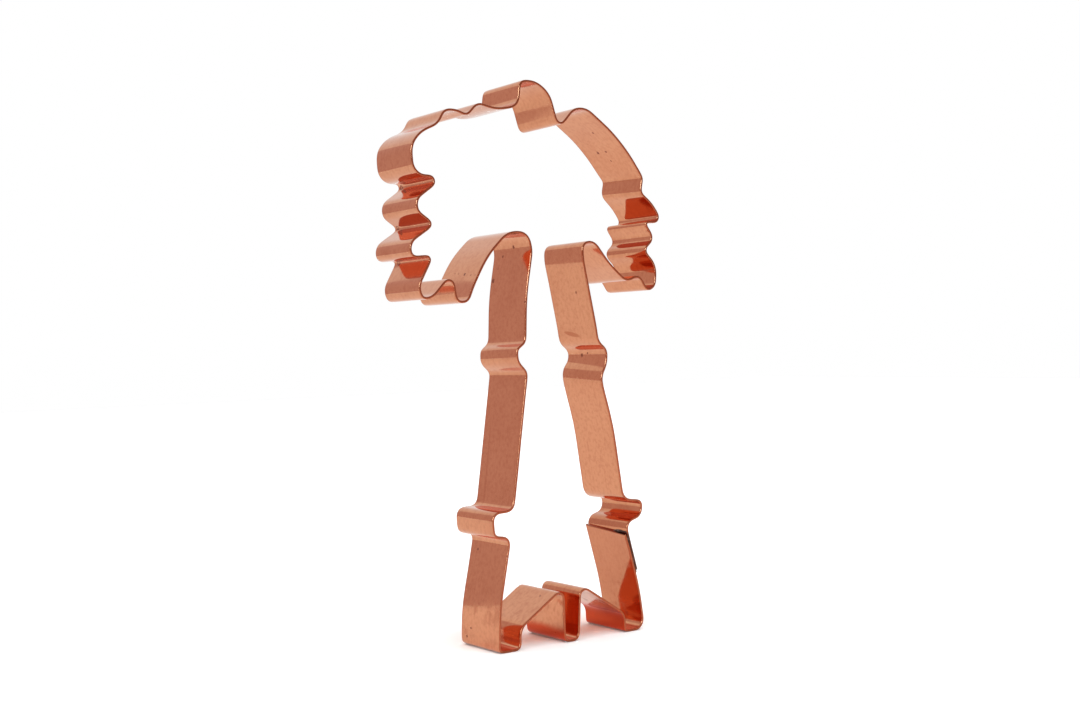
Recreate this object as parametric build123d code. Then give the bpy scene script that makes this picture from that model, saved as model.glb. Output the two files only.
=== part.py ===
from build123d import *
import math
import os

# Cookie cutter bent from one copper strip: a tapering tower with two rings on each leg,
# splayed feet braced to a middle stub, and a broad ragged crown with a knob on top.
# The strip stands on edge around the outline and its ends lap on the right shin.
# Millimetres, +Z up, X across the outline, Y along the strip's width.
# Outline points follow the middle of the strip's thickness.

# Strip and its lap
strip_width = 19.05
strip_thickness = 0.64
lap_drop = 3.25
lap_length = 11.8
solder_film = 0.16
solder_setback = 1.5

# Heights, each measured up from the one before it
shin_height = 32.55
ankle_ring_height = 7.1
thigh_height = 37.85
knee_ring_height = 9.35
neck_height = 31.55

# The crown hangs below the top of the neck and rises above it
crown_sink = 19.85
crown_height = 63.1
crown_half_width = 43.65

# Reach of the legs from the tower's axis, and how far the axis stands from the crown's middle
tower_offset = 7.35
left_foot_reach = 25.95
right_foot_reach = 26.35
left_shin_reach = 25.25
right_shin_reach = 25.55
left_ankle_reach = 19.9
right_ankle_reach = 19.65
left_knee_reach = 13.9
right_knee_reach = 12.0
left_neck_reach = 11.1
right_neck_reach = 6.85

# Rings, loops, feet, braces and stub
ankle_ring_depth = 6.95
knee_ring_depth = 3.1
left_loop_width = 8.05
right_loop_width = 4.55
foot_width = 7.35
left_foot_height = 5.9
right_foot_height = 5.3
brace_height = 15.85
stub_width = 5.0
stub_flare = 1.05
stub_offset = 0.65

# Bends: the share of a corner's shorter side that its bend takes up
sole_corner_share = 0.15
foot_inner_share = 0.27
foot_outer_share = 0.45
foot_top_share = 0.40
brace_share = 0.205
stub_left_share = 0.30
stub_right_share = 0.36
bow_share = 0.45

# Each shin bows at this share of its height
shin_bow_share = 0.38

# Rings, bottom corner first: out by a share of the depth, up by a share of the height, bend
left_ankle_shares = [(0.17, 0.01, 0.50), (0.96, -0.01, 0.33), (1.02, 0.98, 0.33), (0.00, 1.01, 0.30)]
right_ankle_shares = [(0.07, 0.03, 0.46), (0.96, 0.24, 0.45), (1.01, 0.88, 0.32), (0.00, 0.97, 0.40)]
left_knee_shares = [(0.00, 0.12, 0.34), (0.89, 0.39, 0.42), (1.05, 0.84, 0.25), (0.10, 1.02, 0.42)]
right_knee_shares = [(0.06, -0.11, 0.42), (0.90, 0.29, 0.45), (1.03, 0.72, 0.45), (-0.08, 0.98, 0.40)]

# Thigh and necks, upward: share of the way from the lower reach to the upper, of the height, bend
right_thigh_shares = [(0.43, 0.59, 0.40)]
left_neck_shares = [(0.12, 0.43, 0.40), (1.00, 0.835, 0.30)]
right_neck_shares = [(0.18, 0.14, 0.30), (0.90, 0.72, 0.45)]

# Loops at the top of the necks: share of the loop's width outward, of the neck's height, bend
left_loop_shares = [(0.15, 1.00, 0.54), (1.00, 1.003, 0.45)]
right_loop_shares = [(0.04, 0.928, 0.50), (1.00, 0.931, 0.42)]

# Crown, clockwise from the left loop: share of the half width, of the height, bend
left_droop_shares = [
    (-0.450, 0.197, 0.45),
    (-0.587, 0.003, 0.45),
    (-0.674, 0.000, 0.45),
    (-0.702, 0.131, 0.42),
    (-0.845, 0.026, 0.45),
    (-0.924, 0.013, 0.45),
    (-0.949, 0.071, 0.45),
]
fringe_shares = [
    (-0.840, 0.204, 0.28),
    (-1.000, 0.194, 0.45),
    (-1.000, 0.260, 0.45),
    (-0.824, 0.339, 0.30),
    (-0.947, 0.394, 0.45),
    (-0.945, 0.448, 0.45),
    (-0.739, 0.548, 0.48),
]
left_shoulder_shares = [
    (-0.968, 0.546, 0.48),
    (-0.973, 0.673, 0.45),
    (-0.887, 0.742, 0.42),
    (-0.776, 0.774, 0.45),
    (-0.730, 0.840, 0.42),
    (-0.633, 0.840, 0.40),
    (-0.561, 0.819, 0.42),
    (-0.480, 0.881, 0.35),
    (-0.337, 0.858, 0.45),
]
knob_shares = [
    (-0.166, 0.881, 0.36),
    (-0.145, 0.997, 0.30),
    (-0.021, 1.000, 0.45),
    (0.087, 0.950, 0.45),
    (0.155, 0.794, 0.34),
]
right_shoulder_shares = [
    (0.289, 0.894, 0.42),
    (0.395, 0.897, 0.45),
    (0.605, 0.797, 0.45),
    (0.744, 0.703, 0.45),
    (0.873, 0.581, 0.36),
]
right_steps_shares = [
    (0.824, 0.526, 0.40),
    (0.938, 0.471, 0.40),
    (1.030, 0.381, 0.45),
    (0.864, 0.382, 0.24),
    (0.954, 0.300, 0.42),
    (0.848, 0.248, 0.40),
]
right_droop_shares = [
    (0.962, 0.176, 0.45),
    (0.950, 0.074, 0.45),
    (0.878, 0.050, 0.42),
    (0.808, 0.129, 0.40),
    (0.697, 0.094, 0.40),
    (0.550, 0.179, 0.30),
]

# Levels worked out from the heights
sole = strip_thickness / 2
ankle_level = shin_height
ankle_top = ankle_level + ankle_ring_height
knee_level = ankle_top + thigh_height
knee_top = knee_level + knee_ring_height
neck_top = knee_top + neck_height
crown_bottom = neck_top - crown_sink
layer_pitch = strip_thickness + solder_film


def left(reach):
    """X of a point that lies this far left of the tower's axis."""
    return tower_offset - reach


def right(reach):
    """X of a point that lies this far right of the tower's axis."""
    return tower_offset + reach


def ring(side, reach, depth, level, height, shares):
    """Corners of one ring on a leg, from the bottom up."""
    return [(side(reach + depth * out), level + height * up, bend) for out, up, bend in shares]


def climb(side, low_reach, high_reach, level, height, shares):
    """Corners between two reaches of a leg, from the bottom up."""
    span = high_reach - low_reach
    return [(side(low_reach + span * along), level + height * up, bend) for along, up, bend in shares]


def crown_corners(shares):
    """Corners of one stretch of the crown."""
    return [(crown_half_width * out, crown_bottom + crown_height * up, bend) for out, up, bend in shares]


def base_corners():
    """Corners from the right foot's outer edge to the left foot's, along the floor."""
    right_inner = right(right_foot_reach - foot_width)
    left_inner = left(left_foot_reach - foot_width)
    stub_left = left(stub_width / 2 + stub_offset)
    stub_right = right(stub_width / 2 - stub_offset)
    return [
        (right(right_foot_reach), sole, foot_outer_share),
        (right_inner, sole, sole_corner_share),
        (right_inner, sole + right_foot_height, foot_top_share),
        (stub_right + stub_flare, sole + brace_height, brace_share),
        (stub_right, sole, stub_right_share),
        (stub_left, sole, stub_left_share),
        (stub_left, sole + brace_height, brace_share),
        (left_inner, sole + left_foot_height, foot_top_share),
        (left_inner, sole, foot_inner_share),
        (left(left_foot_reach), sole, sole_corner_share),
    ]


def left_leg_corners():
    """Corners from the left shin up to the left loop."""
    corners = [(left(left_shin_reach), sole + shin_height * shin_bow_share, bow_share)]
    corners += ring(left, left_ankle_reach, ankle_ring_depth, ankle_level, ankle_ring_height, left_ankle_shares)
    corners += ring(left, left_knee_reach, knee_ring_depth, knee_level, knee_ring_height, left_knee_shares)
    corners += climb(left, left_knee_reach, left_neck_reach, knee_top, neck_height, left_neck_shares)
    corners += ring(left, left_neck_reach, left_loop_width, knee_top, neck_height, left_loop_shares)
    return corners


def right_leg_corners():
    """Corners from the right loop down to the lower corner of the right ankle ring."""
    corners = ring(right, right_ankle_reach, ankle_ring_depth, ankle_level, ankle_ring_height, right_ankle_shares)
    corners += climb(right, right_ankle_reach, right_knee_reach, ankle_top, thigh_height, right_thigh_shares)
    corners += ring(right, right_knee_reach, knee_ring_depth, knee_level, knee_ring_height, right_knee_shares)
    corners += climb(right, right_knee_reach, right_neck_reach, knee_top, neck_height, right_neck_shares)
    corners += ring(right, right_neck_reach, right_loop_width, knee_top, neck_height, right_loop_shares)
    return corners[::-1]


def left_of(direction):
    """Unit vector a quarter turn to the left of a direction in the outline's plane."""
    return Vector(-direction.Y, direction.X).normalized()


class Lap:
    """The two ends of the strip, lying side by side on the right shin."""

    def __init__(self, ankle):
        shin_bow = Vector(right(right_shin_reach), sole + shin_height * shin_bow_share)
        self.down = (shin_bow - ankle).normalized()
        self.inward = -left_of(self.down)
        self.ankle = ankle
        self.bow = shin_bow + self.inward * layer_pitch

    def point(self, along, inward):
        """Point at a distance down the outer layer, and inward from its middle."""
        return self.ankle + self.down * along + self.inward * inward

    def inner_end(self):
        return self.point(lap_drop, layer_pitch)

    def outer_end(self):
        return self.point(lap_drop + lap_length, 0)


def strip_corners():
    """Corners of the whole strip, from its inner end to its outer end, with the lap."""
    leg = right_leg_corners()
    ankle_x, ankle_z, _ = leg[-1]
    lap = Lap(Vector(ankle_x, ankle_z))
    corners = [(lap.inner_end().X, lap.inner_end().Y, 0)]
    corners += [(lap.bow.X, lap.bow.Y, bow_share)]
    corners += base_corners()
    corners += left_leg_corners()
    for stretch in [
        left_droop_shares,
        fringe_shares,
        left_shoulder_shares,
        knob_shares,
        right_shoulder_shares,
        right_steps_shares,
        right_droop_shares,
    ]:
        corners += crown_corners(stretch)
    corners += leg
    corners += [(lap.outer_end().X, lap.outer_end().Y, 0)]
    return corners, lap


def strip_path(corners):
    """Stops on the middle line with their left-hand normals: both ends, and three for each bend."""
    places = [Vector(x, z) for x, z, _ in corners]
    stops = [(places[0], left_of(places[1] - places[0]))]
    for index in range(1, len(places) - 1):
        run_in = places[index] - places[index - 1]
        run_out = places[index + 1] - places[index]
        reach = corners[index][2] * min(run_in.length, run_out.length)
        ahead_in = run_in.normalized()
        ahead_out = run_out.normalized()
        turn = math.atan2(left_of(ahead_in).dot(ahead_out), ahead_in.dot(ahead_out))
        radius = reach / math.tan(turn / 2)
        enter = places[index] - ahead_in * reach
        leave = places[index] + ahead_out * reach
        centre = enter + left_of(ahead_in) * radius
        halfway = left_of(ahead_in + ahead_out)
        stops += [(enter, left_of(ahead_in)), (centre - halfway * radius, halfway), (leave, left_of(ahead_out))]
    stops += [(places[-1], left_of(places[-1] - places[-2]))]
    return stops


def strip_side(stops, offset):
    """Edges of one face of the strip: straight runs joined by arcs."""
    points = [point + normal * offset for point, normal in stops]
    edges = [Line(points[0], points[1])]
    for index in range(1, len(points) - 1, 3):
        edges += [ThreePointArc(points[index], points[index + 1], points[index + 2])]
        edges += [Line(points[index + 2], points[index + 3])]
    return edges


def copper_strip(corners):
    """The bent strip, one solid from end to end."""
    stops = strip_path(corners)
    inner = strip_side(stops, -strip_thickness / 2)
    outer = strip_side(stops, strip_thickness / 2)
    ends = [Line(inner[0] @ 0, outer[0] @ 0), Line(inner[-1] @ 1, outer[-1] @ 1)]
    section = make_face(inner + outer + ends)
    return extrude(Plane.XZ * section, amount=strip_width / 2, both=True)


def seam_solder(lap):
    """Film of solder that fills the gap between the two layers of the lap."""
    near = strip_thickness / 2
    far = near + solder_film
    first = lap_drop + solder_setback
    last = lap_drop + lap_length
    outline = Polyline(
        lap.point(first, near),
        lap.point(last, near),
        lap.point(last, far),
        lap.point(first, far),
        close=True,
    )
    return extrude(Plane.XZ * make_face(outline), amount=strip_width / 2, both=True)


corners, lap = strip_corners()
strip = copper_strip(corners)
solder = seam_solder(lap)

# The origin lies under the middle of the whole cutter, on the floor
middle = strip.bounding_box().center()
to_origin = Pos(-middle.X, -middle.Y, 0)

os.makedirs("parts", exist_ok=True)
export_step(to_origin * strip, "parts/copper_strip.step")
export_step(to_origin * solder, "parts/seam_solder.step")
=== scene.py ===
"""Looks of a copper strip cookie cutter that stands on a white table."""
import math

import bpy
import numpy as np
from mathutils import Matrix, Vector, noise


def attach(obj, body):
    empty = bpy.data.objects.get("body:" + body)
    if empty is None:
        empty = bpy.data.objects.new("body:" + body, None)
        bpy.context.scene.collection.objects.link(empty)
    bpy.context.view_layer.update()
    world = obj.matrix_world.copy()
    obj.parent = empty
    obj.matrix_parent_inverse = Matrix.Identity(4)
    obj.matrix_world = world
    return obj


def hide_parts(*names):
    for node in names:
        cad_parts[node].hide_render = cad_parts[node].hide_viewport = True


# Strip, in metres
strip_thickness = 0.64e-3
half_width = 9.525e-3
edge_round = 0.13e-3
edge_steps = 3
face_shares = (0.975, 0.94, 0.88, 0.78, 0.62, 0.40, 0.14)
bend_step = math.radians(5)
flat_step = 0.6e-3

# Bends of the real sheet start and end softly
bend_ease = 0.5e-3
ease_samples = 9
ease_span = 2

# Limits within which the CAD strip's side is read
side_tilt = 0.5
square_turn = 0.5
flat_tolerance = 2e-3
place_digits = 8
shortest_step = 1e-6

# Where the real strip strays from an even outline: places across and up, and the reach along the strip.
# Then comes how much softer a bend is there, or how far the front edge and the back edge swell aside or rise
soft_spots = ((0.0369, 0.1333, 2.5e-3, 0.9e-3),)
swells = (
    (-0.0401, 0.1436, 3.0e-3, -0.50e-3, -0.58e-3),
    (-0.0233, 0.1030, 3.0e-3, 0.36e-3, 0.36e-3),
    (0.0147, 0.1120, 2.5e-3, 0.22e-3, 0.34e-3),
    (-0.0096, 0.0822, 1.5e-3, -0.25e-3, -0.25e-3),
    (0.0220, 0.0820, 2.0e-3, 0.18e-3, 0.04e-3),
    (0.0199, 0.0768, 2.0e-3, -0.18e-3, -0.04e-3),
    (-0.0181, 0.0070, 6.0e-3, 0.03e-3, -0.42e-3),
)
rises = (
    (0.0203, 0.0775, 3.0e-3, 0.0, 1.2e-3),
    (0.0369, 0.1333, 4.0e-3, 0.0, 0.9e-3),
    (-0.0097, 0.0840, 3.0e-3, 0.0, -0.4e-3),
)

# Unevenness of the sheet
wave_height = 0.012e-3
wave_length = 11e-3
curl_height = 0.05e-3
curl_reach = 1.3e-3
curl_radius = 2.0e-3

# The cut end of the lap's inner layer: out of square, its front corner sprung open
end_rise = -0.2e-3
end_skew = 1.5e-3
skew_reach = 4e-3
spring_height = 0.22e-3
spring_reach = 6e-3

# Solder squeezed out of the lap: a bead under the outer layer's end, and a dark lens at the inner layer's end
# that is painted shade, standing in for the dark gap between the layers
lap_length = 12.4e-3
heat_reach = 26e-3
solder_film = 0.16e-3
shade_lens_from = -9.6e-3
shade_lens_to = -1.9e-3
shade_lens_height = 0.75e-3
shade_lens_lean = 0.66
seam_line = 0.05e-3
bead_height = 0.75e-3
bead_sink = 0.03e-3
bead_share = 0.45
bead_span = 0.985
bead_lump = 3e-3
bead_unevenness = 0.6
bead_rows = 60
bead_arc = 8

# Rows in which the strip is laid out on its texture
layout_rows = 4
layout_margin = 1.2e-3

# Camera, solved from the strip's edges in the photo
camera_place = (-0.23896, -0.34517, 0.08623)
camera_heading = math.radians(-35.226)
camera_dip = math.radians(0.590)
camera_roll = math.radians(-1.541)
camera_lens = 47.90
camera_near = 0.01
camera_far = 10

# The photo's size, and marks on the copper as places in it: across, down and reach, in its pixels
photo_width = 1080
photo_height = 720
sensor_width = 36
pit_pixels = (
    (513.5, 247, 1.3),
    (503, 256.5, 0.9),
    (493, 281, 1.6),
    (498, 269, 0.5),
    (464.5, 274.5, 1.2),
    (458.5, 274, 0.6),
    (471, 275, 0.6),
    (455, 273.5, 0.5),
    (475, 275, 0.5),
    (489, 311, 0.8),
    (525, 302, 0.8),
    (576, 292.5, 0.8),
    (582, 268, 0.5),
    (593, 133, 0.9),
    (598, 153, 1.2),
    (606, 152, 0.9),
    (611, 161, 0.6),
    (582, 355, 1.3),
    (587.5, 353, 0.8),
    (478, 549, 0.9),
    (540, 596, 0.8),
    (471, 628, 0.8),
    (467, 636, 0.9),
)
# Small dent hollows in the sheet, whose rims get painted shade
dent_pixels = (
    (401.5, 187.8, 3.0),
    (397.8, 227.8, 2.7),
    (398.8, 263.0, 3.3),
)
smear_pixel = (572, 334.3)

# Shapes of those marks, mostly as shares of a mark's reach between which it fades
pit_grain = (2500, 3.0)
pit_spread = 3.6
pit_core = 0.5
dent_outside = (1.0, 0.8)
dent_inside = (0.2, 0.6)
smear_slope = 0.18
smear_width = 3.9e-3
smear_height = 0.7e-3
smear_edge = (1.15, 0.7)

# Painted reflections of the table's red-tinted shade in two inner corners of the feet: across, up, half width
# and half height
shade_reflection_spots = ((0.0042, 0.0002, 0.0020, 0.0046), (0.0252, 0.0034, 0.0046, 0.0062))
shade_reflection_edge = (1.3, 0.75)
shade_reflection_raggedness = 0.4

# Copper under white light, then copper that is seen in copper once, twice and more often, and what marks it
# or paints reflections and shade on it
copper_colour = (0.615, 0.262, 0.138, 1)
mirrored_colour = (0.72, 0.155, 0.060, 1)
deep_colour = (0.72, 0.30, 0.17, 1)
deepest_colour = (1.0, 0.62, 0.45, 1)
stain_colour = (0.47, 0.155, 0.075, 1)
# Painted reflection of the table's red-tinted shade, for the feet's inner corners
shade_reflection_colour = (0.54, 0.062, 0.017, 1)
edge_colour = (0.44, 0.112, 0.053, 1)
# Also the painted shade on each dent's rim and along the soles
pit_and_shade_colour = (0.24, 0.070, 0.036, 1)
copper_roughness = 0.07
cloud_roughness = 0.06
smudge_roughness = 0.16
edge_roughness = 0.22

# Unevenness of the copper's surface: scale and detail of its noises, per metre
cloud_grain = (75, 4.0)
mottle_grain = (900, 3.0)
smudge_grain = (240, 6.0)
streak_grain = (1.0, 3.0)
streak_across = 1500
streak_along = 14
streak_height = 0.9e-6
scratch_grain = (1.0, 1.0)
scratch_across = 420
scratch_along = 9
scratch_layer = 5.0
speck_scale = 170
speck_share = 0.14
speck_reach = 0.24e-3
speck_core = 0.6

# How the unevenness shows: its range, and how much stain it brings from the low to the high end
cloud_stain = (0.42, 0.72, 0.0, 0.28)
mottle_stain = (0.40, 0.72, 0.0, 0.42)
streak_stain = (0.42, 0.75, 0.0, 0.17)
scratch_stain = (0.70, 0.76, 0.0, 0.5)
smudge_range = (0.50, 0.68)
smudge_height = 0.028
smudge_stain = 0.5
margin_width = 0.9e-3
margin_stain = 0.6
inner_heat = 0.4
outer_heat = 0.5
cloud_sheen = (0.35, 0.7)

# Where the raw edges, the darker back edge and the painted contact shade along the soles start and end, and
# how strong they are
cut_edge = (half_width - 0.055e-3, half_width - 0.010e-3)
back_edge = (half_width - 0.225e-3, half_width - 0.105e-3, 0.0, 0.6)
sole_contact_shade = (0.62e-3, 0.35e-3, 0.0, 0.75)

# Burnt flux on the lap, and painted shade of the gap between its layers: the share of the lap that it covers,
# and how dark it is on the rims and on the end
flux_shade_part = 0.9
flux_shade_rim = 0.85
flux_shade_end = 0.75
flux_shade_back = 0.7

# Solder and the burnt flux on it
solder_colour = (0.34, 0.31, 0.29, 1)
# Also the painted shade in the gap between the lap's layers
flux_and_gap_shade_colour = (0.05, 0.022, 0.016, 1)
flux_grain = (700, 4.0)
flux_range = (0.74, 0.56)
flux_sheen = (0.3, 0.7, 0.65, 0.35)
solder_metal = 0.5

# Studio
white = (1, 1, 1, 1)
black = (0, 0, 0, 1)
floor_half = 2.0
table_colour = (0.9, 0.9, 0.9, 1)
table_roughness = 0.6
# Painted pool of light on the table: its glow near the cutter and far from it
glow_near = 0.21
glow_far = 0.11
glow_seen = (0.36, 0.36, 0.36, 1)
# Painted copper-pink shade on the table near the cutter, for the camera
copper_glow = (0.26, 0.08, 0.04, 1)
copper_glow_middle = (0.012, 0.013, 0)
copper_glow_reach = (0.050, 0.026)
copper_glow_edge = (1.0, 0.4)
contact_reach = 0.003
glow_reach = 0.6
panel_distance = 0.80
panel_heading = math.radians(126)
panel_left = 0.42
panel_right = 0.27
panel_top = 0.56
panel_colour = (0.75, 0.60, 0.62, 1)
front_colour = (0.42, 0.36, 0.35, 1)
front_heading = math.radians(-100)
front_reach = (math.radians(105), math.radians(70))
lamp_aim = (-0.45, -0.65, 0.62)
lamp_reach = (0.9, 1.8)
lamp_front = (1.27, 1.27, 1.27, 1)
lamp_back = (0.42, 0.42, 0.42, 1)
glint_aim = (-0.82, -0.44, 0.36)
glint_reach = (0.27, 0.189)
glint_light = (13, 22, 26, 1)


def principled(name):
    """A new material with its node tree and shader."""
    material = bpy.data.materials.new(name)
    material.use_nodes = True
    return material, material.node_tree, material.node_tree.nodes["Principled BSDF"]


def feed(tree, socket, value):
    """Link a socket, or set its own value."""
    if isinstance(value, bpy.types.NodeSocket):
        tree.links.new(value, socket)
    else:
        socket.default_value = value


def reckoned(tree, operation, *values):
    """A node of one arithmetic step."""
    node = tree.nodes.new("ShaderNodeMath")
    node.operation = operation
    for socket, value in zip(node.inputs, values):
        feed(tree, socket, value)
    return node.outputs[0]


def product(tree, first, second):
    return reckoned(tree, "MULTIPLY", first, second)


def added(tree, first, second):
    return reckoned(tree, "ADD", first, second)


def larger(tree, first, second):
    return reckoned(tree, "MAXIMUM", first, second)


def rise(tree, value, low, high, start=0.0, end=1.0):
    """An even change from start to end, as the value goes from low to high."""
    node = tree.nodes.new("ShaderNodeMapRange")
    node.interpolation_type = "SMOOTHSTEP"
    names = ("Value", "From Min", "From Max", "To Min", "To Max")
    for name, amount in zip(names, (value, low, high, start, end)):
        feed(tree, node.inputs[name], amount)
    return node.outputs[0]


def mixed(tree, share, first, second):
    """One colour that turns into another by a share."""
    node = tree.nodes.new("ShaderNodeMix")
    node.data_type = "RGBA"
    feed(tree, node.inputs[0], share)
    for socket, colour in zip([socket for socket in node.inputs if socket.type == "RGBA"], (first, second)):
        feed(tree, socket, colour)
    return next(socket for socket in node.outputs if socket.type == "RGBA")


def grain(tree, place, scale, detail):
    """Soft noise between 0 and 1."""
    node = tree.nodes.new("ShaderNodeTexNoise")
    feed(tree, node.inputs["Vector"], place)
    feed(tree, node.inputs["Scale"], scale)
    feed(tree, node.inputs["Detail"], detail)
    return node.outputs[0]


def spot_of(tree, x, y, z=0.0):
    node = tree.nodes.new("ShaderNodeCombineXYZ")
    for socket, value in zip(node.inputs, (x, y, z)):
        feed(tree, socket, value)
    return node.outputs[0]


def parts_of(tree, place):
    node = tree.nodes.new("ShaderNodeSeparateXYZ")
    feed(tree, node.inputs[0], place)
    return node.outputs


def gap_between(tree, place, spot):
    node = tree.nodes.new("ShaderNodeVectorMath")
    node.operation = "DISTANCE"
    feed(tree, node.inputs[0], place)
    feed(tree, node.inputs[1], spot)
    return node.outputs["Value"]


def spread_from(tree, offsets):
    """Distance from a middle, in reaches: each value comes with its own middle and reach."""
    shares = []
    for value, middle, reach in offsets:
        shares.append(reckoned(tree, "DIVIDE", reckoned(tree, "SUBTRACT", value, middle), reach))
    return gap_between(tree, spot_of(tree, *shares), (0, 0, 0))


def rim_segments(mesh):
    """Front rim of the strip's side faces: spot to spot, with the corner normals and the face's own."""
    front = min(vertex.co.y for vertex in mesh.vertices)
    for face in mesh.polygons:
        if abs(face.normal.y) > side_tilt:
            continue
        rim = {}
        for corner in face.loop_indices:
            vertex = mesh.vertices[mesh.loops[corner].vertex_index].co
            if vertex.y < front + edge_round:
                spot = (round(vertex.x, place_digits), round(vertex.z, place_digits))
                rim[spot] = np.array(mesh.corner_normals[corner].vector)[[0, 2]]
        if len(rim) == 2:
            yield rim, np.array(face.normal)[[0, 2]]


def strip_side(mesh):
    """Points and normals along one side of the strip, from end to end, as the CAD node has them."""
    beside = {}
    for rim, flat in rim_segments(mesh):
        (start, start_normal), (end, end_normal) = rim.items()
        straight = np.allclose([start_normal, end_normal], flat, atol=flat_tolerance)
        beside.setdefault(start, []).append((end, start_normal, straight))
        beside.setdefault(end, []).append((start, end_normal, straight))
    # An end of a side is where two faces meet at a right angle
    ends = [spot for spot, pair in beside.items() if abs(pair[0][1] @ pair[1][1]) < square_turn]
    first = min(ends, key=lambda spot: spot[1])
    length_to = [math.dist(first, onward) for onward, _, _ in beside[first]]
    onward, normal, _ = beside[first][int(length_to[0] < length_to[1])]
    points = [first]
    normals = [normal]
    spot = first
    while onward not in ends:
        pair = beside[onward]
        flats = [normal for _, normal, straight in pair if straight]
        points.append(onward)
        normals.append(flats[0] if len(flats) == 1 else pair[0][1] + pair[1][1])
        following = pair[0][0] if pair[0][0] != spot else pair[1][0]
        spot = onward
        onward = following
    points.append(onward)
    normals += [normal for other, normal, _ in beside[onward] if other == spot]
    normals = np.array(normals)
    return np.array(points), normals / np.linalg.norm(normals, axis=1, keepdims=True)


def stations(points, normals):
    """The middle line in short steps, with its normals: straight where the strip is flat, round in bends."""
    middle = points - normals * strip_thickness / 2
    ahead = np.stack([normals[:, 1], -normals[:, 0]], axis=1)
    if ahead[0] @ (middle[1] - middle[0]) < 0:
        ahead = -ahead
    places = []
    facings = []
    for index in range(len(middle) - 1):
        start, end = middle[index : index + 2]
        chord = np.linalg.norm(end - start)
        bend = math.acos(min(1.0, normals[index] @ normals[index + 1]))
        steps = max(math.ceil(bend / bend_step), math.ceil(chord / flat_step))
        for step in range(steps):
            t = step / steps
            leave = ahead[index] * chord * (t - 2 * t**2 + t**3)
            arrive = ahead[index + 1] * chord * (t**3 - t**2)
            blend = 3 * t**2 - 2 * t**3
            places.append(start * (1 - blend) + end * blend + leave + arrive)
            facings.append(normals[index] * (1 - t) + normals[index + 1] * t)
    places.append(middle[-1])
    facings.append(normals[-1])
    return eased(np.array(places), np.array(facings))


def run_along(places):
    """How far along a line each of its points lies."""
    return np.concatenate([[0], np.cumsum(np.linalg.norm(np.diff(places, axis=0), axis=1))])


def eased(places, facings):
    """The same line with its bends a little softened."""
    run = run_along(places)
    ease = np.full(len(run), bend_ease)
    for x, z, along, extra in soft_spots:
        ease += extra * nearness(places, run, (x, z), along)
    reach = np.minimum(ease, np.minimum(run, run[-1] - run) / 2)
    line = np.hstack([places, facings / np.linalg.norm(facings, axis=1, keepdims=True)])
    soft = np.zeros_like(line)
    shares = np.linspace(-ease_span, ease_span, ease_samples)
    weights = np.exp(-shares**2 / 2)
    for share, weight in zip(shares, weights / weights.sum()):
        for column in range(line.shape[1]):
            soft[:, column] += weight * np.interp(run + share * reach, run, line[:, column])
    facings = soft[:, 2:]
    return soft[:, :2], facings / np.linalg.norm(facings, axis=1, keepdims=True)


def nearness(places, run, spot, reach):
    """How near each station lies to a place on the strip: 1 there, and fading along the strip."""
    middle = run[np.argmin(np.linalg.norm(places - spot, axis=1))]
    return np.exp(-(((run - middle) / reach) ** 2) / 2)


def strayed(places, run, across, spots):
    """How far the real strip strays at each of its points, by the places listed for it."""
    offset = np.zeros(across.shape)
    backward = (across + half_width) / (2 * half_width)
    for x, z, reach, front, back in spots:
        offset += nearness(places, run, (x, z), reach)[:, None] * (front + (back - front) * backward)
    return offset


def section_ring():
    """The strip's cross-section: each point's offset from the middle, place across and outward direction."""
    half = strip_thickness / 2
    flat = half_width - edge_round
    across = [flat] + [half_width * share for share in face_shares]
    across = across + [-value for value in reversed(across)]
    ring = [(half, value, 1.0, 0.0) for value in across]
    for step in range(1, edge_steps + 1):
        turn = math.pi / 2 * step / edge_steps
        out, side = math.cos(turn), math.sin(turn)
        ring.append((half - edge_round + edge_round * out, -flat - edge_round * side, out, -side))
    ring += [(-offset, value, -out, side) for offset, value, out, side in reversed(ring)]
    # The two rounded corners of the back edge mirror those of the front edge
    ring += [(offset, -value, out, -side) for offset, value, out, side in reversed(ring) if side]
    return np.array(ring)


def smooth_rise(value, low, high):
    """0 below low, 1 above high, and an even rise between."""
    t = np.clip((value - low) / (high - low), 0, 1)
    return t * t * (3 - 2 * t)


def lay_out(mesh, run, ring):
    """Unrolls the strip onto its texture, in a few rows side by side."""
    size = len(ring)
    bands = (len(run) - 1) * size
    closed = np.vstack([ring[:, :2], ring[:1, :2]])
    girth = run_along(closed)
    row_length = run[-1] / layout_rows
    pitch = girth[-1] + layout_margin
    sheet = max(row_length + 3 * layout_margin, layout_rows * pitch + 3 * layout_margin)
    layer = mesh.uv_layers.new(name="OFBake").data
    for face in mesh.polygons:
        station, around = divmod(face.index, size)
        row = min(int(run[min(station, len(run) - 2)] / row_length), layout_rows - 1)
        for corner in face.loop_indices:
            place, spot = divmod(mesh.loops[corner].vertex_index, size)
            if face.index < bands:
                wrapped = around == size - 1 and spot == 0
                u = run[place] - row * row_length + layout_margin
                v = girth[size if wrapped else spot] + row * pitch + layout_margin
            else:
                u = ring[spot, 1] + half_width * (2 + 3 * (face.index - bands))
                v = ring[spot, 0] + sheet - layout_margin
            layer[corner].uv = (u / sheet, v / sheet)


def edge_curl(run, facings, across):
    """How far tight bends curl the sheet's edges the other way."""
    cross = facings[:-1, 0] * facings[1:, 1] - facings[:-1, 1] * facings[1:, 0]
    turn = np.arctan2(cross, (facings[:-1] * facings[1:]).sum(1))
    steps = np.maximum(np.diff(run), shortest_step)
    bend = np.interp(run, (run[1:] + run[:-1]) / 2, turn / steps)
    near_edge = smooth_rise(np.abs(across), half_width - curl_reach, half_width)
    return curl_height * np.clip(bend * curl_radius, -1, 1)[:, None] * near_edge


def waves(run, across):
    """Slow waves of the sheet, the same each time."""
    heights = [[noise.noise(Vector((s / wave_length, y / wave_length, 0))) for y in across] for s in run]
    return wave_height * np.array(heights)


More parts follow.
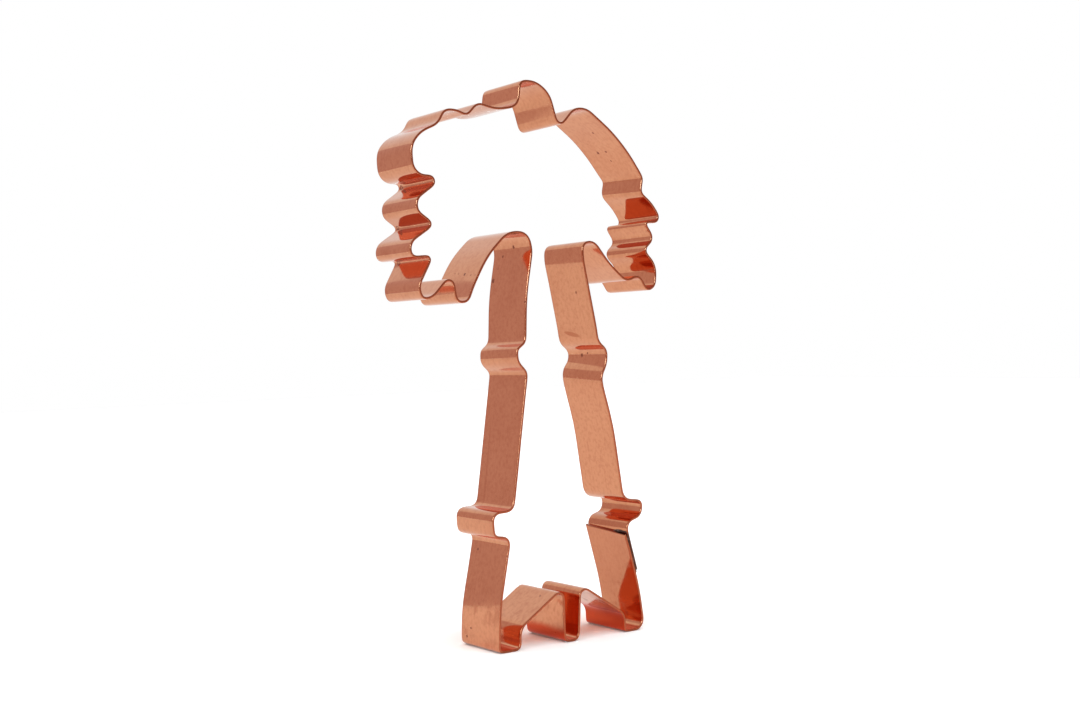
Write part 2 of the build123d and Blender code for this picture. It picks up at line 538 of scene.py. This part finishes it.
def strip_points(places, facings, run, onward, ring):
    """The section set up at each station, with all that bends the sheet out of an even shape."""
    count, size = len(places), len(ring)
    across = np.broadcast_to(ring[:, 1][None, :], (count, size))
    to_end = run - run[-1]
    forward = smooth_rise(-across, 0, half_width)
    spring = spring_height * smooth_rise(to_end, -spring_reach, 0)[:, None] * forward
    lift = edge_curl(run, facings, across) + waves(run, ring[:, 1])
    outward = ring[:, 0][None, :] + lift - np.sign(facings[-1, 0]) * spring
    skew = end_rise + end_skew * (across + half_width) / (2 * half_width)
    skew = skew * smooth_rise(to_end, -skew_reach, 0)[:, None]
    upward = strayed(places, run, across, rises)
    sideways = facings[:, 0:1] * strayed(places, run, across, swells)
    verts = np.empty((count, size, 3))
    verts[:, :, 0] = places[:, 0:1] + facings[:, 0:1] * outward + onward[:, 0:1] * skew + sideways
    verts[:, :, 1] = across
    verts[:, :, 2] = places[:, 1:2] + facings[:, 1:2] * outward + onward[:, 1:2] * skew + upward
    return verts


def strip_mesh():
    """The strip's mesh, its length, its two ends with the way out of each, and the way through the lap."""
    points, normals = strip_side(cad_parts["copper_strip"].data)
    places, facings = stations(points, normals)
    ring = section_ring()
    run = run_along(places)
    onward = np.gradient(places, axis=0)
    onward /= np.linalg.norm(onward, axis=1, keepdims=True)
    verts = strip_points(places, facings, run, onward, ring)
    count, size = len(places), len(ring)
    faces = []
    for i in range(count - 1):
        for j in range(size):
            k = (j + 1) % size
            faces.append((i * size + j, i * size + k, (i + 1) * size + k, (i + 1) * size + j))
    faces.append(tuple(range(size - 1, -1, -1)))
    faces.append(tuple(range((count - 1) * size, count * size)))
    mesh = bpy.data.meshes.new("copper_band")
    mesh.from_pydata(verts.reshape(-1, 3).tolist(), [], faces)
    mesh.polygons.foreach_set("use_smooth", [True] * (len(faces) - 2) + [False, False])
    if mesh.polygons[0].normal @ Vector((facings[0, 0], 0, facings[0, 1])) < 0:
        mesh.flip_normals()
    mesh.update()
    mesh.attributes.new("run", "FLOAT", "POINT").data.foreach_set("value", np.repeat(run, size))
    lay_out(mesh, run, ring)
    away = Vector((facings[-1, 0], 0, facings[-1, 1])) * np.sign(facings[-1, 0])
    ends = []
    for place, ahead in ((places[-1], onward[-1]), (places[0], -onward[0])):
        ends.append((Vector((place[0], 0, place[1])), Vector((ahead[0], 0, ahead[1]))))
    return mesh, run[-1], ends, away


def bead_mesh(name, end, up, across, height_at):
    """A low ridge of solder along a cut end, on the layer behind it."""
    base = end + across * (strip_thickness / 2 + solder_film + bead_sink)
    verts = []
    for row in range(bead_rows + 1):
        y = half_width * bead_span * (2 * row / bead_rows - 1)
        height = height_at(y)
        for step in range(bead_arc + 1):
            turn = math.pi * step / bead_arc
            bulge = bead_share * height * math.sin(turn) + bead_sink
            place = base + up * height * (1 - math.cos(turn)) / 2 - across * bulge
            verts.append((place.x, y, place.z))
    width = bead_arc + 1
    faces = []
    for row in range(bead_rows):
        for step in range(bead_arc):
            first = row * width + step
            faces.append((first, first + 1, first + width + 1, first + width))
    rounded = len(faces)
    for row in range(bead_rows):
        first = row * width
        faces.append((first, first + width, first + width + bead_arc, first + bead_arc))
    faces.append(tuple(reversed(range(width))))
    faces.append(tuple(range(bead_rows * width, (bead_rows + 1) * width)))
    mesh = bpy.data.meshes.new(name)
    mesh.from_pydata(verts, [], faces)
    mesh.polygons.foreach_set("use_smooth", [index < rounded for index in range(len(faces))])
    if mesh.polygons[bead_arc // 2].normal @ across > 0:
        mesh.flip_normals()
    mesh.update()
    return mesh


def lump_at(y):
    """Uneven height of hand-laid solder, as a share."""
    return 1 + bead_unevenness * noise.noise(Vector((y / bead_lump, half_width, 0)))


def bead_at(y):
    """Height of the bead under the outer layer's end."""
    return bead_height * lump_at(y)


def shade_lens_at(y):
    """Height of the dark lens at the inner layer's end, painted shade of the gap between the layers, with a
    hair line behind it.
    """
    t = np.clip((y - shade_lens_from) / (shade_lens_to - shade_lens_from), 0, 1)
    return (shade_lens_height * math.sin(math.pi * t**shade_lens_lean) + seam_line) * lump_at(y)


def add_object(name, data):
    thing = bpy.data.objects.new(name, data)
    bpy.context.collection.objects.link(thing)
    return thing


def sight_line(pixel):
    """The camera's place and the direction in which it sees a place in the photo."""
    reach = camera_lens / sensor_width * photo_width
    aim = Vector(((pixel[0] - photo_width / 2) / reach, (photo_height / 2 - pixel[1]) / reach, -1))
    turn = bpy.context.scene.camera.matrix_world
    return turn.translation, (turn.to_3x3() @ aim).normalized(), reach


def place_on(band, pixel):
    """Where on the strip a place in the photo lies, and how many metres a pixel covers there."""
    start, aim, reach = sight_line(pixel)
    _, place, _, _ = band.ray_cast(start, aim)
    return place, (place - start).length / reach


def pits(tree, place, band):
    """The photo's few dark pits, as a mask."""
    mask = 0.0
    ragged = grain(tree, place, *pit_grain)
    for across, down, pixels in pit_pixels:
        spot, pixel_size = place_on(band, (across, down))
        gap = gap_between(tree, place, spot)
        reach = product(tree, ragged, pit_spread * pixels * pixel_size)
        near = rise(tree, gap, reach, product(tree, reach, pit_core))
        mask = larger(tree, mask, near)
    return mask


def dent_rim_shade(tree, place, band):
    """Painted shade on the rim of each of the photo's few small dent hollows, left in the sheet's valleys by
    bending, as a mask.
    """
    mask = 0.0
    for across, down, pixels in dent_pixels:
        spot, pixel_size = place_on(band, (across, down))
        gap = gap_between(tree, place, spot)
        reach = pixels * pixel_size
        within = rise(tree, gap, *[reach * share for share in dent_outside])
        beyond = rise(tree, gap, *[reach * share for share in dent_inside])
        mask = larger(tree, mask, product(tree, within, beyond))
    return mask


def specks(tree, place):
    """Fine dark specks over the whole strip, as a mask."""
    cells = tree.nodes.new("ShaderNodeTexVoronoi")
    feed(tree, cells.inputs["Vector"], place)
    feed(tree, cells.inputs["Scale"], speck_scale)
    chance = parts_of(tree, cells.outputs["Color"])[0]
    chosen = reckoned(tree, "LESS_THAN", chance, speck_share)
    size = product(tree, chance, speck_reach * speck_scale / speck_share)
    close = rise(tree, cells.outputs["Distance"], size, product(tree, size, speck_core))
    return product(tree, chosen, close)


def with_shade_reflections(tree, x, z, clouds, colour):
    """The colour with painted red reflections of the shaded table in the feet's corners."""
    for across, up, width, height in shade_reflection_spots:
        gap = spread_from(tree, ((x, across, width), (z, up, height)))
        gap = added(tree, gap, product(tree, clouds, shade_reflection_raggedness))
        colour = mixed(tree, rise(tree, gap, *shade_reflection_edge), colour, shade_reflection_colour)
    return colour


def smear(tree, x, y, z, band):
    """The photo's one dull smear, as a mask."""
    spot, _ = place_on(band, smear_pixel)
    sloped = reckoned(tree, "SUBTRACT", z, product(tree, y, smear_slope))
    level = spot.z - smear_slope * spot.y
    offsets = ((y, spot.y, smear_width), (sloped, level, smear_height), (x, spot.x, smear_width))
    return rise(tree, spread_from(tree, offsets), *smear_edge)


def reflected(tree, colour):
    """The colour, and a redder one for each time that copper is seen in copper."""
    bounces = tree.nodes.new("ShaderNodeLightPath").outputs["Glossy Depth"]
    for depth, tone in enumerate((mirrored_colour, deep_colour, deepest_colour)):
        colour = mixed(tree, reckoned(tree, "GREATER_THAN", bounces, depth), colour, tone)
    return colour


def burnt_flux_and_gap_shade(tree, y, run, cut, strip_length):
    """Burnt flux and painted shade of the gap between the layers, on the lap's rims and on its inner layer's
    end, stronger towards the front, as a mask.
    """
    rims = product(tree, cut, rise(tree, run, lap_length, lap_length * flux_shade_part))
    end = rise(tree, run, strip_length - solder_film, strip_length - solder_film / 2, 0.0, flux_shade_end)
    forward = rise(tree, y, half_width, shade_lens_to, flux_shade_back, 1.0)
    return product(tree, larger(tree, rims, product(tree, end, forward)), flux_shade_rim)


def copper(band, strip_length):
    """Satin copper sheet: mill streaks, cloudy sheen, pits, smudged feet, raw cut edges and a burnt lap, with
    painted shade on each dent's rim, along the soles and in the lap's gap, and painted reflections of the
    shaded table in the feet's corners.
    """
    material, tree, shader = principled("copper")
    place = tree.nodes.new("ShaderNodeTexCoord").outputs["Object"]
    x, y, z = parts_of(tree, place)
    run = tree.nodes.new("ShaderNodeAttribute")
    run.attribute_name = "run"
    run = run.outputs["Fac"]
    away = reckoned(tree, "ABSOLUTE", y)
    along = product(tree, run, streak_along)
    streaks = grain(tree, spot_of(tree, along, product(tree, y, streak_across)), *streak_grain)
    along = product(tree, run, scratch_along)
    across = product(tree, y, scratch_across)
    scratches = grain(tree, spot_of(tree, along, across, scratch_layer), *scratch_grain)
    clouds = grain(tree, place, *cloud_grain)
    mottle = grain(tree, place, *mottle_grain)
    smudges = rise(tree, grain(tree, place, *smudge_grain), *smudge_range)
    smudges = product(tree, smudges, rise(tree, z, smudge_height, smudge_height / 3))
    ragged = added(tree, away, product(tree, clouds, margin_width))
    margin = rise(tree, ragged, half_width - margin_width / 2, half_width + margin_width / 2)
    cut = larger(tree, rise(tree, away, *cut_edge), rise(tree, y, *back_edge))
    heat = rise(tree, run, strip_length - heat_reach, strip_length - heat_reach / 2, 0.0, outer_heat)
    heat = added(tree, heat, rise(tree, run, heat_reach, heat_reach / 2, 0.0, inner_heat))

    stains = [heat]
    for unevenness, stain in (
        (clouds, cloud_stain),
        (mottle, mottle_stain),
        (streaks, streak_stain),
        (scratches, scratch_stain),
    ):
        stains.append(rise(tree, unevenness, *stain))
    stains.append(product(tree, smudges, smudge_stain))
    stains.append(product(tree, margin, margin_stain))
    colour = copper_colour
    for stain in stains:
        colour = mixed(tree, stain, colour, stain_colour)
    # Painted reflections of the shaded table in the feet's inner corners
    colour = with_shade_reflections(tree, x, z, clouds, colour)
    colour = mixed(tree, smear(tree, x, y, z, band), colour, stain_colour)
    colour = reflected(tree, colour)
    # Painted shade on each small dent's rim
    colour = mixed(tree, dent_rim_shade(tree, place, band), colour, pit_and_shade_colour)
    dark = larger(tree, pits(tree, place, band), specks(tree, place))
    colour = mixed(tree, dark, colour, pit_and_shade_colour)
    colour = mixed(tree, cut, colour, edge_colour)
    # Painted contact shade along the soles, where they stand on the table
    colour = mixed(tree, rise(tree, z, *sole_contact_shade), colour, pit_and_shade_colour)
    # Burnt flux, and painted shade of the gap between the lap's layers
    colour = mixed(tree, burnt_flux_and_gap_shade(tree, y, run, cut, strip_length), colour, flux_and_gap_shade_colour)
    feed(tree, shader.inputs["Base Color"], colour)
    shader.inputs["Metallic"].default_value = 1

    sheen = rise(tree, clouds, *cloud_sheen, copper_roughness, copper_roughness + cloud_roughness)
    for rough, roughness in ((smudges, smudge_roughness), (cut, edge_roughness), (dark, edge_roughness)):
        sheen = added(tree, sheen, product(tree, rough, roughness))
    feed(tree, shader.inputs["Roughness"], sheen)
    add_bump(tree, shader, streaks, streak_height)
    return material


def add_bump(tree, shader, heights, depth):
    bump = tree.nodes.new("ShaderNodeBump")
    feed(tree, bump.inputs["Height"], heights)
    feed(tree, bump.inputs["Distance"], depth)
    feed(tree, shader.inputs["Normal"], bump.outputs[0])


def solder():
    """Dull solder, mostly under burnt flux."""
    material, tree, shader = principled("solder")
    place = tree.nodes.new("ShaderNodeTexCoord").outputs["Object"]
    blotches = grain(tree, place, *flux_grain)
    burnt = rise(tree, blotches, *flux_range)
    feed(tree, shader.inputs["Base Color"], mixed(tree, burnt, solder_colour, flux_and_gap_shade_colour))
    feed(tree, shader.inputs["Roughness"], rise(tree, blotches, *flux_sheen))
    shader.inputs["Metallic"].default_value = solder_metal
    add_bump(tree, shader, blotches, wave_height)
    return material


def add_camera():
    data = bpy.data.cameras.new("camera")
    data.lens = camera_lens
    data.clip_start = camera_near
    data.clip_end = camera_far
    camera = add_object("camera", data)
    turn = Matrix.Rotation(camera_heading, 4, "Z")
    turn = turn @ Matrix.Rotation(math.pi / 2 - camera_dip, 4, "X")
    turn = turn @ Matrix.Rotation(camera_roll, 4, "Z")
    camera.matrix_world = Matrix.Translation(camera_place) @ turn
    bpy.context.scene.camera = camera


def add_floor():
    """A white table that glows: a painted pool of light around the cutter, and for the camera painted contact
    shade and painted copper-pink shade near the cutter.
    """
    material, tree, shader = principled("table")
    place = tree.nodes.new("ShaderNodeTexCoord").outputs["Object"]
    shader.inputs["Base Color"].default_value = table_colour
    shader.inputs["Roughness"].default_value = table_roughness
    # Painted pool of light: the table glows brightest around the cutter
    glow = rise(tree, gap_between(tree, place, (0, 0, 0)), 0.0, glow_reach, glow_near, glow_far)
    offsets = zip(parts_of(tree, place), copper_glow_middle, copper_glow_reach)
    near = rise(tree, spread_from(tree, offsets), *copper_glow_edge)
    # Painted contact shade from ambient occlusion, and painted copper-pink shade near the cutter, seen by the
    # camera only
    shade = tree.nodes.new("ShaderNodeAmbientOcclusion")
    shade.inputs["Distance"].default_value = contact_reach
    tint = mixed(tree, shade.outputs["AO"], black, mixed(tree, near, glow_seen, copper_glow))
    seen = tree.nodes.new("ShaderNodeLightPath").outputs["Is Camera Ray"]
    plain = tree.nodes.new("ShaderNodeCombineColor")
    for socket in plain.inputs:
        feed(tree, socket, glow)
    feed(tree, shader.inputs["Emission Color"], mixed(tree, seen, plain.outputs[0], tint))
    shader.inputs["Emission Strength"].default_value = 1
    corners = [(x * floor_half, y * floor_half, 0) for x, y in ((-1, -1), (1, -1), (1, 1), (-1, 1))]
    mesh = bpy.data.meshes.new("table")
    mesh.from_pydata(corners, [], [(0, 1, 2, 3)])
    mesh.materials.append(material)
    add_object("table", mesh)


def add_panel():
    """A dimmer panel that stands behind the table's left side, and that only the copper sees."""
    towards = Vector((math.cos(panel_heading), math.sin(panel_heading), 0))
    leftward = Vector((-towards.y, towards.x, 0))
    middle = towards * panel_distance
    left, right = middle + leftward * panel_left, middle - leftward * panel_right
    up = Vector((0, 0, panel_top))
    mesh = bpy.data.meshes.new("panel")
    mesh.from_pydata([left, right, right + up, left + up], [], [(0, 1, 2, 3)])
    material = bpy.data.materials.new("panel")
    material.use_nodes = True
    tree = material.node_tree
    tree.nodes.clear()
    glow = tree.nodes.new("ShaderNodeEmission")
    glow.inputs["Color"].default_value = panel_colour
    output = tree.nodes.new("ShaderNodeOutputMaterial")
    feed(tree, output.inputs["Surface"], glow.outputs[0])
    mesh.materials.append(material)
    panel = add_object("panel", mesh)
    panel.visible_camera = False
    panel.visible_shadow = False
    panel.visible_diffuse = False


def add_world():
    """A white room, dim on the camera's side where the copper mirrors it."""
    world = bpy.data.worlds.new("studio")
    bpy.context.scene.world = world
    world.use_nodes = True
    tree = world.node_tree
    aim = tree.nodes.new("ShaderNodeTexCoord").outputs["Generated"]
    towards = (math.cos(front_heading), math.sin(front_heading), 0)
    # The angle between two directions is twice the arc sine of half their gap
    turned = reckoned(tree, "DIVIDE", gap_between(tree, aim, towards), 2)
    turned = product(tree, reckoned(tree, "ARCSINE", turned), 2)
    room = mixed(tree, rise(tree, turned, *front_reach), white, front_colour)
    glint = rise(tree, gap_between(tree, aim, glint_aim), *glint_reach)
    room = mixed(tree, glint, room, glint_light)
    lamp = mixed(tree, rise(tree, gap_between(tree, aim, lamp_aim), *lamp_reach), lamp_front, lamp_back)
    path = tree.nodes.new("ShaderNodeLightPath").outputs
    room = mixed(tree, path["Is Glossy Ray"], lamp, room)
    feed(tree, tree.nodes["Background"].inputs["Color"], mixed(tree, path["Is Camera Ray"], room, white))
    bpy.context.scene.view_settings.view_transform = "Standard"


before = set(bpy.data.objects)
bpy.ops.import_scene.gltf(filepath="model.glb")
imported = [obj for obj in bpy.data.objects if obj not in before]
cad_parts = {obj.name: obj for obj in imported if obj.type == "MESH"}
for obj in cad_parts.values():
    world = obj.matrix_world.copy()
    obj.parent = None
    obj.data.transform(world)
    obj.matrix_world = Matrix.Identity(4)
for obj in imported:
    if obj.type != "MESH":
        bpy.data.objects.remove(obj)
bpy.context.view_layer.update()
add_camera()
band_mesh, strip_length, (inner_end, outer_end), outward = strip_mesh()
band = add_object("copper_band", band_mesh)
bpy.context.view_layer.update()
band.data.materials.append(copper(band, strip_length))
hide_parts("copper_strip")
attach(band, "root")
solder_material = solder()
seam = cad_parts["seam_solder"]
seam.data.materials.clear()
seam.data.materials.append(solder_material)
# The dark lens is painted shade, standing in for the gap between the lap's layers
lens = add_object("seam_shade_lens", bead_mesh("seam_shade_lens", *inner_end, outward, shade_lens_at))
bead = add_object("seam_bead", bead_mesh("seam_bead", *outer_end, -outward, bead_at))
for piece in (lens, bead):
    piece.data.materials.append(solder_material)
    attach(piece, "root")
add_floor()
add_panel()
add_world()
